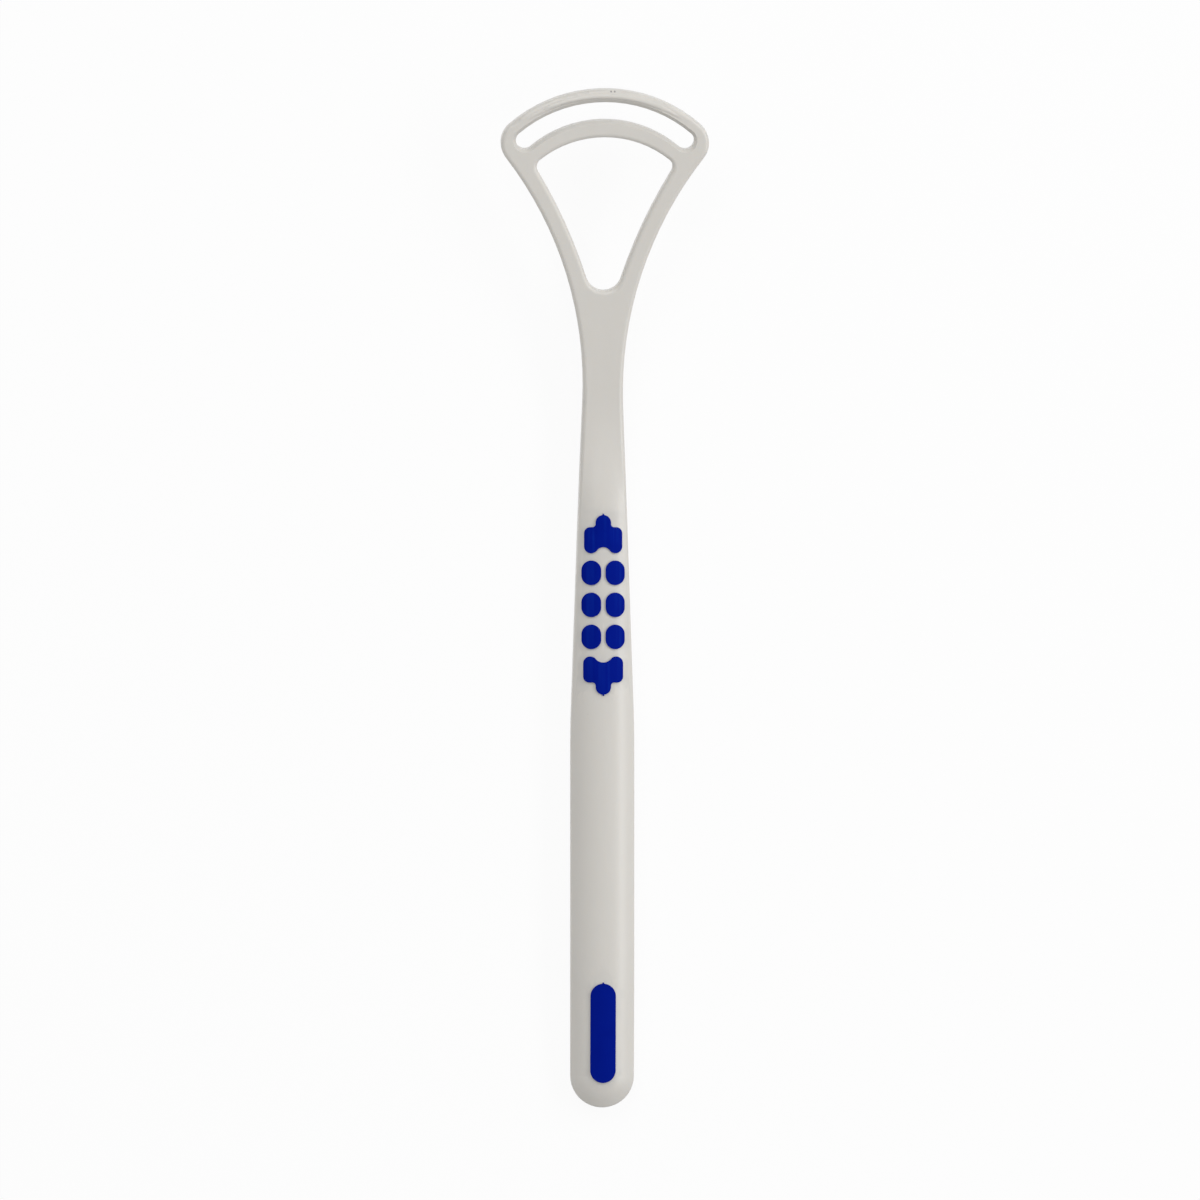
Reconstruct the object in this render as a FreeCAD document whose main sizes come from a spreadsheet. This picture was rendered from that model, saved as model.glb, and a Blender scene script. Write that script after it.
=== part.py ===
import FreeCAD, Part
import math
import os
import re

import Sketcher
from FreeCAD import Vector

# A two-shot moulded tongue scraper lying on its back: tail at -Y, head at +Y, scraping side up.
# Driving sizes in millimetres and degrees. A station is a distance along the tool from the tail end, and
# a front height is measured from the surface that the handle rests on.
SIZES = {
    # Plan of the handle, whose taper ends at the narrowest place of the neck
    "overall_length": 168.0,
    "handle_width": 10.5,
    "taper_length": 59.0,
    "taper_blend_radius": 150.0,
    "neck_width": 6.6,
    # Plan of the head in its own plane, from the narrowest place of the neck to the tip
    "head_length": 49.6,
    "head_width": 34.3,
    "corner_radius": 4.0,
    "outer_arc_radius": 24.0,
    "outer_bar_width": 2.1,
    "slot_width": 3.0,
    "slot_end_wall": 2.45,
    "inner_bar_width": 2.85,
    "window_length": 25.55,
    "limb_width": 5.95,
    "window_top_radius": 17.0,
    "window_side_radius": 86.0,
    "window_corner_radius": 1.5,
    "crotch_radius": 2.95,
    # Side view: ridge heights, the thinning run of the neck and the forward bend of the head
    "handle_front": 6.2,
    "tail_front": 5.0,
    "tail_slope_end": 27.0,
    "neck_run": 21.0,
    "neck_land": 2.0,
    "bend_radius": 80.0,
    "head_thickness": 3.0,
    "head_tilt": 9.0,
    # Cross-section: how far the front and back fall from ridge to edge, the flat land, the edge rounding
    "front_crown": 2.2,
    "back_crown": 1.25,
    "back_land_depth": 0.25,
    "front_edge_radius": 0.7,
    "back_edge_radius": 0.9,
    "back_chamfer": 0.6,
    "slot_chamfer": 0.5,
    # Raised scraping crest along the outer bar: its tip, flanks, foot inside the bar's walls and fade
    "crest_height": 0.42,
    "crest_tip_radius": 0.45,
    "crest_flank_angle": 60.0,
    "crest_inset": 0.55,
    "crest_fade": 6.0,
    # Soft inlays: depth under the ridge and height over the surface
    "inlay_depth": 1.6,
    "inlay_proud": 0.25,
    # Six oval dots in two columns, their middle row placed from the neck
    "dot_width": 3.2,
    "dot_length": 4.05,
    "dot_gap": 0.75,
    "dot_pitch": 5.28,
    "dots_to_neck": 36.0,
    # Two arrow inlays that point away from the dots
    "arrow_gap": 1.2,
    "upper_arrow_width": 6.3,
    "lower_arrow_width": 6.6,
    "arrow_body_length": 4.3,
    "arrow_lobe_radius": 1.15,
    "arrow_notch_depth": 1.0,
    "arrow_corner_radius": 1.0,
    "arrow_neck_width": 2.55,
    "arrow_neck_length": 2.0,
    "arrow_neck_fillet": 0.5,
    # Long pad near the tail
    "tail_pad_width": 4.2,
    "tail_pad_length": 16.4,
    "tail_pad_station": 12.3,
}

# Share of the thinnest wall that a rounding may take.
ROUNDING_LIMIT = 0.42
# Places of the handle's sections as shares of the stretch that they divide.
RISE_SHARES = (1 / 3, 2 / 3, 1)
BLEND_SHARES = (0.5, 1)
THINNING_SHARES = (0.5, 1)
BEND_SHARES = (0.5, 1)
# Two lengths are taken as equal below this.
TOLERANCE = 1e-4

# Numbers by which a sketch knows the points of a curve and its own axes.
START, END, CENTRE = range(1, 4)
ORIGIN = (-1, START)
HORIZONTAL_AXIS, VERTICAL_AXIS = range(-1, -3, -1)

doc = FreeCAD.newDocument("tongue_scraper")
sheet = doc.addObject("Spreadsheet::Sheet", "sheet")
for row, (alias, number) in enumerate(SIZES.items(), start=1):
    sheet.set(f"A{row}", alias)
    sheet.set(f"B{row}", str(number))
    sheet.setAlias(f"B{row}", alias)
doc.recompute()


def cells(expression):
    """Expression with every size name written as its cell of the sheet."""
    return re.sub(r"[a-z_]+", lambda word: f"sheet.{word[0]}" if word[0] in SIZES else word[0], expression)


def value(expression):
    return float(sheet.evalExpression(cells(expression)))


def add_body(label):
    body = doc.addObject("PartDesign::Body", label)
    body.Label = label
    body.setExpression("Placement.Base.y", cells("-overall_length / 2"))
    return body


def add_sketch(body, name, role, place=("0", "0", "0"), turn="0", axis=Vector(1, 0, 0)):
    """Sketch on an origin plane of its body, moved in that plane's frame and turned about an axis of it."""
    sketch = body.newObject("Sketcher::SketchObject", name)
    plane = next(feature for feature in body.Origin.OriginFeatures if feature.Role == role)
    sketch.AttachmentSupport = [(plane, "")]
    sketch.MapMode = "FlatFace"
    sketch.AttachmentOffset = FreeCAD.Placement(Vector(), FreeCAD.Rotation(axis, 1))
    for letter, expression in zip("xyz", place):
        sketch.setExpression(f"AttachmentOffset.Base.{letter}", cells(expression))
    sketch.setExpression("AttachmentOffset.Rotation.Angle", cells(f"{turn} * 1 deg"))
    return sketch


def dimension(sketch, name, expression, *constraint):
    number = sketch.addConstraint(Sketcher.Constraint(*constraint, value(expression)))
    sketch.renameConstraint(number, name)
    sketch.setExpression(f"Constraints.{name}", cells(expression))


def radius_of(sketch, name, expression, curve):
    dimension(sketch, name, expression, "Radius", curve)


def across(sketch, name, expression, side, curve, point):
    """Distance of a point from the middle plane, on the right (1) or left (-1) side."""
    ends = (*ORIGIN, curve, point) if side > 0 else (curve, point, *ORIGIN)
    dimension(sketch, name, expression, "DistanceX", *ends)


def along(sketch, name, expression, curve, point):
    """Distance of a point from the sketch's horizontal axis, above it or below it."""
    if value(expression) < 0:
        dimension(sketch, name, f"-({expression})", "DistanceY", curve, point, *ORIGIN)
    else:
        dimension(sketch, name, expression, "DistanceY", *ORIGIN, curve, point)


def on_axis(sketch, curve):
    sketch.addConstraint(Sketcher.Constraint("PointOnObject", curve, CENTRE, VERTICAL_AXIS))


def upright(sketch, edge):
    sketch.addConstraint(Sketcher.Constraint("Vertical", edge))


def line_run(first, last):
    return {"first": first, "last": last, "centre": None, "turn": 0}


def arc_run(centre, first, last, turn):
    """Arc from first to last, anticlockwise for a turn of 1 and clockwise for -1."""
    return {"first": first, "last": last, "centre": centre, "turn": turn}


def mirrored(run):
    """The same run on the other side of the middle plane, travelled the other way."""
    flip = lambda point: Vector(-point.x, point.y, 0)
    centre = run["centre"] and flip(run["centre"])
    return {"first": flip(run["last"]), "last": flip(run["first"]), "centre": centre, "turn": run["turn"]}


def draw(sketch, run):
    """Add a run to the sketch and return its number with the numbers of its first and last points."""
    if run["centre"] is None:
        return sketch.addGeometry(Part.LineSegment(run["first"], run["last"])), START, END
    low, high = (run["first"], run["last"]) if run["turn"] > 0 else (run["last"], run["first"])
    spokes = [point - run["centre"] for point in (low, high)]
    begin, finish = [math.atan2(spoke.y, spoke.x) for spoke in spokes]
    if finish <= begin:
        finish += 2 * math.pi
    circle = Part.Circle(run["centre"], Vector(0, 0, 1), spokes[0].Length)
    number = sketch.addGeometry(Part.ArcOfCircle(circle, begin, finish))
    return (number, START, END) if run["turn"] > 0 else (number, END, START)


def closed_outline(sketch, runs, sharp=()):
    """Draw runs as one closed outline in which each run is tangent to the next, apart from sharp corners."""
    drawn = [draw(sketch, run) for run in runs]
    for joint, ((here, _, leave), (there, enter, _)) in enumerate(zip(drawn, drawn[1:] + drawn[:1])):
        kind = "Coincident" if joint in sharp else "Tangent"
        sketch.addConstraint(Sketcher.Constraint(kind, here, leave, there, enter))
    return [number for number, _, _ in drawn]


def symmetric_outline(sketch, bottom, right, top, sharp=()):
    """Closed outline from a right half and its mirror image: bottom, right runs, top, left runs."""
    left = [mirrored(run) for run in reversed(right)]
    numbers = closed_outline(sketch, [bottom, *right, top, *left], sharp)
    count = len(right)
    return numbers[0], numbers[1:count + 1], numbers[count + 1], numbers[:count + 1:-1]


def circle_meeting(first, first_radius, second, second_radius):
    """Point at the given distances from two centres, to the right of the way from first to second."""
    way = second - first
    reach = (way.Length ** 2 + first_radius ** 2 - second_radius ** 2) / (2 * way.Length)
    offset = math.sqrt(first_radius ** 2 - reach ** 2)
    unit = way / way.Length
    return first + unit * reach + Vector(unit.y, -unit.x, 0) * offset


def towards(start, target, distance):
    way = target - start
    return start + way * (distance / way.Length)


# Derived places, written as expressions of the sizes


# Rounded corner of the head and the outer arc of a limb, which starts square to the neck.
CORNER_REACH = "(head_width / 2 - corner_radius)"
BAR_CENTRE = "(head_length - outer_arc_radius)"
CORNER_STATION = f"({BAR_CENTRE} + sqrt((outer_arc_radius - corner_radius) ^ 2 - {CORNER_REACH} ^ 2))"
FLARE = f"({CORNER_REACH} - neck_width / 2)"
LIMB_RADIUS = f"(({FLARE} ^ 2 + {CORNER_STATION} ^ 2 - corner_radius ^ 2) / (2 * ({FLARE} + corner_radius)))"
LIMB_REACH = f"(neck_width / 2 + {LIMB_RADIUS})"
# Slot between the bars.
SLOT_UPPER = "(outer_arc_radius - outer_bar_width)"
SLOT_LOWER = f"({SLOT_UPPER} - slot_width)"
SLOT_CAP = "(head_width / 2 - slot_end_wall - slot_width / 2)"
# Window under the inner bar, and the limb's wall beside the window's corner.
WINDOW_TOP = "(head_length - outer_bar_width - slot_width - inner_bar_width)"
WINDOW_BOTTOM = f"({WINDOW_TOP} - window_length)"
ARCH_CENTRE = f"({WINDOW_TOP} - window_top_radius)"
WINDOW_CORNER = "(head_width / 2 - limb_width - window_corner_radius)"
WINDOW_SHOULDER = (f"({ARCH_CENTRE}"
                   f" + sqrt((window_top_radius - window_corner_radius) ^ 2 - {WINDOW_CORNER} ^ 2))")
LIMB_WALL = (f"(sqrt(({LIMB_REACH} - {WINDOW_CORNER}) ^ 2 + {WINDOW_SHOULDER} ^ 2)"
             f" - {LIMB_RADIUS} - window_corner_radius)")
# Edges of the head are broken as far as its thinnest wall lets them.
THINNEST = f"{ROUNDING_LIMIT} * min(outer_bar_width; head_thickness; {LIMB_WALL})"
FRONT_ROUNDING = f"min(front_edge_radius; {THINNEST})"
BACK_CHAMFER = f"min(back_chamfer; {THINNEST})"
SLOT_CHAMFER = f"min(slot_chamfer; {THINNEST})"
# The tool's far end is the lower edge of the tilted head's wall.
HEAD_REACH = f"(head_length * cos(head_tilt) + (head_thickness / 2 - {BACK_CHAMFER}) * sin(head_tilt))"
# The middle line runs level along the handle, bends in an arc and runs straight through neck and head.
MIDDLE = "(handle_front / 2)"
NECK = f"(overall_length - {HEAD_REACH})"
NECK_HEIGHT = f"({MIDDLE} + bend_radius * (1 - cos(head_tilt)) + neck_land * sin(head_tilt))"
BEND_START = f"({NECK} - neck_land * cos(head_tilt) - bend_radius * sin(head_tilt))"
BEND_LENGTH = "(bend_radius * head_tilt * pi / 180)"
NECK_PATH = f"({BEND_START} + {BEND_LENGTH} + neck_land)"
TAIL = "(handle_width / 2)"
TAPER_START = f"({NECK_PATH} - taper_length)"
GRIP_END = f"({NECK_PATH} - neck_run)"
THINNING = f"({BEND_START} - {GRIP_END})"
FRONT_RADIUS = f"(({TAIL} ^ 2 + front_crown ^ 2) / (2 * front_crown))"
BACK_RADIUS = f"(({TAIL} ^ 2 + back_crown ^ 2) / (2 * back_crown))"
BACK_REACH = f"({MIDDLE} + back_land_depth)"
# The straight taper touches the blend arc at the grip and the limb's arc at the neck.
BLEND_REACH = f"({TAIL} - taper_blend_radius)"
BLEND_SPAN = f"({LIMB_REACH} - {BLEND_REACH})"
TAPER_LEAN = (f"(atan2(taper_length; {BLEND_SPAN})"
              f" - acos((taper_blend_radius + {LIMB_RADIUS}) / sqrt({BLEND_SPAN} ^ 2 + taper_length ^ 2)))")


def taper_half(before_neck):
    """Half-width of the straight taper at a distance before the neck."""
    return (f"({BLEND_REACH} + (taper_blend_radius - (taper_length - {before_neck}) * sin({TAPER_LEAN}))"
            f" / cos({TAPER_LEAN}))")


def neck_half(before_neck):
    """Half-width on the limb's arc at a short distance before the neck."""
    return f"({LIMB_REACH} - sqrt({LIMB_RADIUS} ^ 2 - {before_neck} ^ 2))"


# Plan outlines of the head, in its own plane with the neck at the origin


HEAD_PLACE = ("0", NECK, NECK_HEIGHT)


def draw_plate(sketch):
    """Outer outline of the head: square neck, flaring limbs, rounded corners and the outer bar."""
    half = value("neck_width / 2")
    outer = Vector(0, value(BAR_CENTRE), 0)
    corner = Vector(value(CORNER_REACH), value(CORNER_STATION), 0)
    limb = Vector(value(LIMB_REACH), 0, 0)
    foot = Vector(half, 0, 0)
    limb_top = towards(limb, corner, value(LIMB_RADIUS))
    bar_end = towards(outer, corner, value("outer_arc_radius"))
    bottom, right, top, left = symmetric_outline(
        sketch,
        line_run(-foot, foot),
        [arc_run(limb, foot, limb_top, -1),
         arc_run(corner, limb_top, bar_end, 1)],
        arc_run(outer, bar_end, Vector(-bar_end.x, bar_end.y, 0), 1),
        sharp=(0, 5))
    on_axis(sketch, top)
    radius_of(sketch, "bar_radius", "outer_arc_radius", top)
    along(sketch, "bar_centre", BAR_CENTRE, top, CENTRE)
    for side, name, end, (flank, shoulder) in ((1, "right", END, right), (-1, "left", START, left)):
        sketch.addConstraint(Sketcher.Constraint("PointOnObject", bottom, end, HORIZONTAL_AXIS))
        sketch.addConstraint(Sketcher.Constraint("PointOnObject", flank, CENTRE, HORIZONTAL_AXIS))
        across(sketch, f"{name}_neck", "neck_width / 2", side, bottom, end)
        radius_of(sketch, f"{name}_corner", "corner_radius", shoulder)
        across(sketch, f"{name}_head", CORNER_REACH, side, shoulder, CENTRE)


def draw_slot(sketch):
    """Curved slot between the outer and inner bars, with round ends."""
    centre = Vector(0, value(BAR_CENTRE), 0)
    cap = Vector(value(SLOT_CAP), 0, 0)
    cap.y = centre.y + math.sqrt(value(f"({SLOT_UPPER} + {SLOT_LOWER}) / 2") ** 2 - cap.x ** 2)
    low = towards(centre, cap, value(SLOT_LOWER))
    high = towards(centre, cap, value(SLOT_UPPER))
    bottom, right, top, left = symmetric_outline(
        sketch,
        arc_run(centre, Vector(-low.x, low.y, 0), low, -1),
        [arc_run(cap, low, high, 1)],
        arc_run(centre, high, Vector(-high.x, high.y, 0), 1))
    on_axis(sketch, top)
    along(sketch, "slot_centre", BAR_CENTRE, top, CENTRE)
    sketch.addConstraint(Sketcher.Constraint("Coincident", bottom, CENTRE, top, CENTRE))
    radius_of(sketch, "slot_upper", SLOT_UPPER, top)
    radius_of(sketch, "slot_lower", SLOT_LOWER, bottom)
    across(sketch, "right_cap", SLOT_CAP, 1, right[0], CENTRE)
    across(sketch, "left_cap", SLOT_CAP, -1, left[0], CENTRE)


def draw_window(sketch):
    """Open window under the inner bar, between the two limbs."""
    top_radius = value("window_top_radius")
    side_radius = value("window_side_radius")
    corner_radius = value("window_corner_radius")
    crotch_radius = value("crotch_radius")
    arch = Vector(0, value(ARCH_CENTRE), 0)
    crotch = Vector(0, value(f"{WINDOW_BOTTOM} + crotch_radius"), 0)
    corner = Vector(value(WINDOW_CORNER), value(WINDOW_SHOULDER), 0)
    side = circle_meeting(crotch, side_radius + crotch_radius, corner, side_radius + corner_radius)
    crotch_end = towards(crotch, side, crotch_radius)
    side_top = towards(corner, side, corner_radius)
    arch_end = towards(arch, corner, top_radius)
    bottom, right, top, left = symmetric_outline(
        sketch,
        arc_run(crotch, Vector(-crotch_end.x, crotch_end.y, 0), crotch_end, 1),
        [arc_run(side, crotch_end, side_top, -1),
         arc_run(corner, side_top, arch_end, 1)],
        arc_run(arch, arch_end, Vector(-arch_end.x, arch_end.y, 0), 1))
    on_axis(sketch, bottom)
    radius_of(sketch, "crotch", "crotch_radius", bottom)
    along(sketch, "crotch_centre", f"{WINDOW_BOTTOM} + crotch_radius", bottom, CENTRE)
    on_axis(sketch, top)
    radius_of(sketch, "arch", "window_top_radius", top)
    along(sketch, "arch_centre", ARCH_CENTRE, top, CENTRE)
    for hand, name, (flank, shoulder) in ((1, "right", right), (-1, "left", left)):
        radius_of(sketch, f"{name}_side", "window_side_radius", flank)
        radius_of(sketch, f"{name}_corner", "window_corner_radius", shoulder)
        across(sketch, f"{name}_width", WINDOW_CORNER, hand, shoulder, CENTRE)


def draw_stadium(sketch, side, offset, station, width, length):
    """Outline with straight sides and round ends, its middle at an offset from the middle plane."""
    radius = value(f"{width} / 2")
    middle = side * value(offset)
    half_run = f"({length} - {width}) / 2"
    low = Vector(middle, value(f"{station} - {half_run}"), 0)
    high = Vector(middle, value(f"{station} + {half_run}"), 0)
    reach = Vector(radius, 0, 0)
    bottom, right, top, left = closed_outline(sketch, [
        arc_run(low, low - reach, low + reach, 1),
        line_run(low + reach, high + reach),
        arc_run(high, high + reach, high - reach, 1),
        line_run(high - reach, low - reach)])
    upright(sketch, right)
    upright(sketch, left)
    radius_of(sketch, "end_radius", f"{width} / 2", bottom)
    along(sketch, "lower_end", f"{station} - {half_run}", bottom, CENTRE)
    along(sketch, "upper_end", f"{station} + {half_run}", top, CENTRE)
    if side:
        across(sketch, "column", offset, side, bottom, CENTRE)
    else:
        on_axis(sketch, bottom)


def draw_arrow(sketch, way, base, width):
    """Arrow with two round lobes and a notch at its base, pointing to the head (1) or the tail (-1)."""
    sign = "+" if way > 0 else "-"

    def station(height):
        return f"{base} {sign} ({height})"

    def place(reach, height):
        return Vector(value(reach), value(station(height)), 0)

    lobe_reach = f"({width} / 2 - arrow_lobe_radius)"
    neck_half = "arrow_neck_width / 2"
    body_top = "arrow_body_length"
    tip_height = f"arrow_body_length + arrow_neck_length - {neck_half}"
    fillet_reach = f"{neck_half} + arrow_neck_fillet"
    lobe = place(lobe_reach, "arrow_lobe_radius")
    step = value("arrow_lobe_radius - arrow_notch_depth")
    lobe_radius = value("arrow_lobe_radius")
    notch_radius = (lobe.x ** 2 + step ** 2 - lobe_radius ** 2) / (2 * (lobe_radius - step))
    notch = Vector(0, value(station("arrow_notch_depth")) - way * notch_radius, 0)
    notch_end = towards(notch, lobe, notch_radius)
    tip = place("0", tip_height)
    tip_start = place(neck_half, tip_height)
    side_foot = place(f"{width} / 2", "arrow_lobe_radius")
    side_top = place(f"{width} / 2", f"{body_top} - arrow_corner_radius")
    corner = place(f"{width} / 2 - arrow_corner_radius", f"{body_top} - arrow_corner_radius")
    shoulder_out = place(f"{width} / 2 - arrow_corner_radius", body_top)
    shoulder_in = place(fillet_reach, body_top)
    fillet = place(fillet_reach, f"{body_top} + arrow_neck_fillet")
    neck_foot = place(neck_half, f"{body_top} + arrow_neck_fillet")
    bottom, right, top, left = symmetric_outline(
        sketch,
        arc_run(notch, Vector(-notch_end.x, notch_end.y, 0), notch_end, -way),
        [arc_run(lobe, notch_end, side_foot, way),
         line_run(side_foot, side_top),
         arc_run(corner, side_top, shoulder_out, way),
         line_run(shoulder_out, shoulder_in),
         arc_run(fillet, shoulder_in, neck_foot, -way),
         line_run(neck_foot, tip_start)],
        arc_run(tip, tip_start, Vector(-tip_start.x, tip_start.y, 0), way))
    along(sketch, "tip", station(tip_height), top, CENTRE)
    radius_of(sketch, "notch", f"({lobe_reach} ^ 2 + (arrow_lobe_radius - arrow_notch_depth) ^ 2"
              " - arrow_lobe_radius ^ 2) / (2 * arrow_notch_depth)", bottom)
    for hand, name, runs in ((1, "right", right), (-1, "left", left)):
        lobe_arc, side_line, corner_arc, shoulder_line, fillet_arc, neck_side = runs
        upright(sketch, side_line)
        upright(sketch, neck_side)
        sketch.addConstraint(Sketcher.Constraint("Horizontal", shoulder_line))
        radius_of(sketch, f"{name}_lobe", "arrow_lobe_radius", lobe_arc)
        radius_of(sketch, f"{name}_corner", "arrow_corner_radius", corner_arc)
        radius_of(sketch, f"{name}_fillet", "arrow_neck_fillet", fillet_arc)
        along(sketch, f"{name}_base", station("arrow_lobe_radius"), lobe_arc, CENTRE)
        along(sketch, f"{name}_body", station(body_top), shoulder_line, START)
        across(sketch, f"{name}_width", f"{width} / 2", hand, side_line, START)
        across(sketch, f"{name}_neck", neck_half, hand, neck_side, START)


# Handle, made of sections with crowned faces and rounded edges


def eased(share):
    """Share of a change that starts and ends gently."""
    return f"({share} ^ 2 * (3 - 2 * {share}))"


def slowing(share):
    """Share of a change that starts straight and ends gently."""
    return f"({share} * (3 - {share} ^ 2) / 2)"


def between(first, last, share):
    return f"({first} + {share} * (({last}) - ({first})))"


def rise_section(share):
    """Section where the front has risen by a share of the way from the tail to the level grip."""
    front = between("tail_front", "handle_front", slowing(share))
    return (between(TAIL, "tail_slope_end", share), MIDDLE, "0",
            TAIL, f"({front} - {MIDDLE})", BACK_REACH, FRONT_RADIUS, BACK_RADIUS)


def grip_section(station, half):
    """Section of the level grip, as station, height and tilt, half-width, front, back and crown radii."""
    return station, MIDDLE, "0", half, f"(handle_front - {MIDDLE})", BACK_REACH, FRONT_RADIUS, BACK_RADIUS


def blend_section(share):
    turn = f"({share} * {TAPER_LEAN})"
    return grip_section(f"({TAPER_START} + taper_blend_radius * sin({turn}))",
                        f"({BLEND_REACH} + taper_blend_radius * cos({turn}))")


def thinning_section(share):
    return between(GRIP_END, BEND_START, share), MIDDLE, "0", *neck_section(f"({share} * {THINNING})")


def bend_section(share):
    turn = f"({share} * head_tilt)"
    run = f"({THINNING} + {share} * {BEND_LENGTH})"
    station = f"({BEND_START} + bend_radius * sin({turn}))"
    height = f"({MIDDLE} + bend_radius * (1 - cos({turn})))"
    return station, height, turn, *(neck_section(run) if share < 1 else flat_section("neck_land"))


def handle_stretches():
    """Stretches from the tail to the neck: name, whether it is straight, and its sections."""
    return [
        ("rise", False, [rise_section(share) for share in RISE_SHARES]),
        ("grip", True, [grip_section(TAPER_START, TAIL)]),
        ("blend", False, [blend_section(share) for share in BLEND_SHARES]),
        ("taper", True, [grip_section(GRIP_END, taper_half("neck_run"))]),
        ("neck", False, [*(thinning_section(share) for share in THINNING_SHARES),
                         *(bend_section(share) for share in BEND_SHARES),
                         (NECK, NECK_HEIGHT, "head_tilt", *flat_section("0"))]),
    ]


def neck_section(run):
    """Half-width, front, back and crown radii at a distance along the thinning neck."""
    share = eased(f"({run} / ({THINNING} + {BEND_LENGTH}))")
    return (taper_half(f"(neck_run - {run})"),
            between(MIDDLE, "head_thickness / 2", share),
            between(BACK_REACH, "head_thickness / 2", share),
            f"({FRONT_RADIUS} / (1 - {share}))", f"({BACK_RADIUS} / (1 - {share}))")


def flat_section(before_neck):
    """Half-width, front and back of the head's plate at a short distance before the neck, with no crowns."""
    return neck_half(before_neck), "(head_thickness / 2)", "(head_thickness / 2)", None, None


def crown_edge(half, reach, radius, rounding, hand):
    """Centres of a crown and of its edge rounding, for the front (1) or back (-1)."""
    inset = value(half) - value(rounding)
    if radius is None:
        return None, Vector(inset, hand * (value(reach) - value(rounding)), 0)
    centre = Vector(0, hand * (value(reach) - value(radius)), 0)
    rise = math.sqrt((value(radius) - value(rounding)) ** 2 - inset ** 2)
    return centre, Vector(inset, centre.y + hand * rise, 0)


def front_runs(half, front, radius):
    """Crown centre and edge rounding of the front, up from the side wall."""
    centre, edge = crown_edge(half, front, radius, FRONT_ROUNDING, 1)
    top = Vector(value(half), edge.y, 0)
    touch = towards(centre, edge, value(radius)) if radius else Vector(edge.x, value(front), 0)
    return centre, arc_run(edge, top, touch, 1)


def back_runs(half, back, radius):
    """Crown centre and edge of the back, up to the side wall: rounded, or chamfered where it is flat."""
    if radius is None:
        cut = value(BACK_CHAMFER)
        inner = Vector(value(half) - cut, -value(back), 0)
        return None, line_run(inner, inner + Vector(cut, cut, 0))
    centre, edge = crown_edge(half, back, radius, "back_edge_radius", -1)
    foot = Vector(value(half), edge.y, 0)
    return centre, arc_run(edge, towards(centre, edge, value(radius)), foot, 1)


def size_side(sketch, name, side, half, runs, flat):
    """Dimensions of one side of a section: its half-width and its two edges."""
    low, wall, high = runs
    upright(sketch, wall)
    across(sketch, f"{name}_half", half, side, wall, START)
    radius_of(sketch, f"{name}_front_rounding", FRONT_ROUNDING, high)
    if flat:
        outward = (low, START, low, END)
        dimension(sketch, f"{name}_chamfer_width", BACK_CHAMFER, "DistanceX", *outward)
        dimension(sketch, f"{name}_chamfer_height", BACK_CHAMFER, "DistanceY",
                  *(outward if side > 0 else (low, END, low, START)))
    else:
        radius_of(sketch, f"{name}_back_rounding", "back_edge_radius", low)


def size_crown(sketch, name, curve, reach, radius, hand):
    """Dimensions of a crown, or of the straight line that a flat section has in its place."""
    if radius is None:
        sketch.addConstraint(Sketcher.Constraint("Horizontal", curve))
        along(sketch, f"{name}_height", f"{hand} * {reach}", curve, START)
        return
    on_axis(sketch, curve)
    radius_of(sketch, f"{name}_radius", radius, curve)
    along(sketch, f"{name}_centre", f"{hand} * ({reach} - {radius})", curve, CENTRE)


def draw_section(sketch, half, front, back, front_radius, back_radius):
    """Whole section about the middle line."""
    flat = front_radius is None
    front_centre, high = front_runs(half, front, front_radius)
    back_centre, low = back_runs(half, back, back_radius)
    wall = line_run(low["last"], high["first"])
    left_low, left_high = mirrored(low)["last"], mirrored(high)["first"]
    if flat:
        bottom, top = line_run(left_low, low["first"]), line_run(high["last"], left_high)
    else:
        bottom = arc_run(back_centre, left_low, low["first"], 1)
        top = arc_run(front_centre, high["last"], left_high, 1)
    bottom, right, top, left = symmetric_outline(
        sketch, bottom, [low, wall, high], top, sharp=(0, 1, 6, 7) if flat else ())
    size_side(sketch, "right", 1, half, right, flat)
    size_side(sketch, "left", -1, half, left, flat)
    size_crown(sketch, "back", bottom, back, back_radius, -1)
    size_crown(sketch, "front", top, front, front_radius, 1)


def draw_half_section(sketch, half, front, back, front_radius, back_radius):
    """Right half of a crowned section, closed along the vertical axis."""
    front_centre, high = front_runs(half, front, front_radius)
    back_centre, low = back_runs(half, back, back_radius)
    foot = Vector(0, -value(back), 0)
    ridge = Vector(0, value(front), 0)
    bottom, *side, top, axis = closed_outline(sketch, [
        arc_run(back_centre, foot, low["first"], 1), low, line_run(low["last"], high["first"]), high,
        arc_run(front_centre, high["last"], ridge, 1), line_run(ridge, foot)], sharp=(4, 5))
    for end in (START, END):
        sketch.addConstraint(Sketcher.Constraint("PointOnObject", axis, end, VERTICAL_AXIS))
    size_side(sketch, "right", 1, half, side, False)
    size_crown(sketch, "back", bottom, back, back_radius, -1)
    size_crown(sketch, "front", top, front, front_radius, 1)


def add_section(body, name, section, function=draw_section):
    """Sketch of a section at its place on the middle line."""
    station, height, tilt, *form = section
    sketch = add_sketch(body, name, "XZ_Plane", ("0", height, f"-{station}"), tilt)
    function(sketch, *form)
    return sketch


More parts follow.
